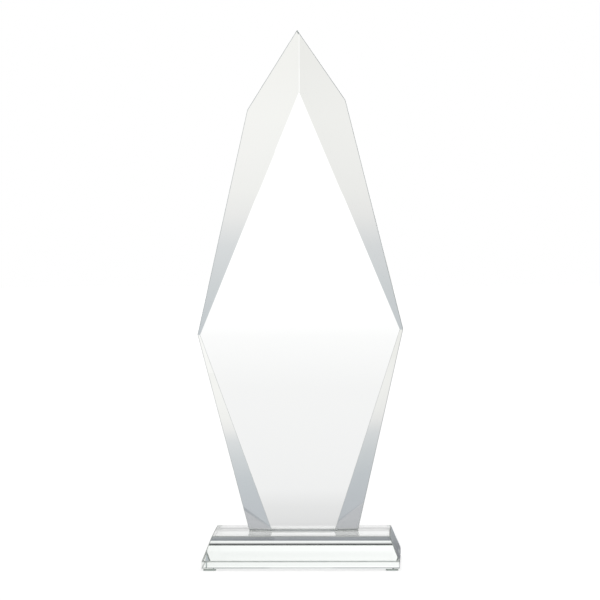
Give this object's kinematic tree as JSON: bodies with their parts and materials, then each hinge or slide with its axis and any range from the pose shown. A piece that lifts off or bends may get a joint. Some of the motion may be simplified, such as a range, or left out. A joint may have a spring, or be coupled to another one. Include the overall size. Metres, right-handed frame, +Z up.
{
  "type": "crystal award",
  "caption": "Clear faceted crystal award: an upright pointed blade bonded to a bevelled glass base that stands on small bumper pads.",
  "frame": {"origin": "middle of the footprint, on the surface that the award stands on", "axes": "+Z up, -Y towards the viewer of the faceted front, +X to the award's right-hand side as seen from the front"},
  "size_m": [0.109, 0.06, 0.2834],
  "materials": {
    "crystal": "polished",
    "base_glass": "polished",
    "adhesive": "clear cured resin",
    "bumper_pad": "smooth translucent grey"
  },
  "bodies": {
    "root": {"crystal_blade": "crystal", "base_block": "base_glass", "adhesive_bond": "adhesive", "bumper_pad_front_left": "bumper_pad", "bumper_pad_front_right": "bumper_pad", "bumper_pad_back_left": "bumper_pad", "bumper_pad_back_right": "bumper_pad"}
  },
  "joints": []
}
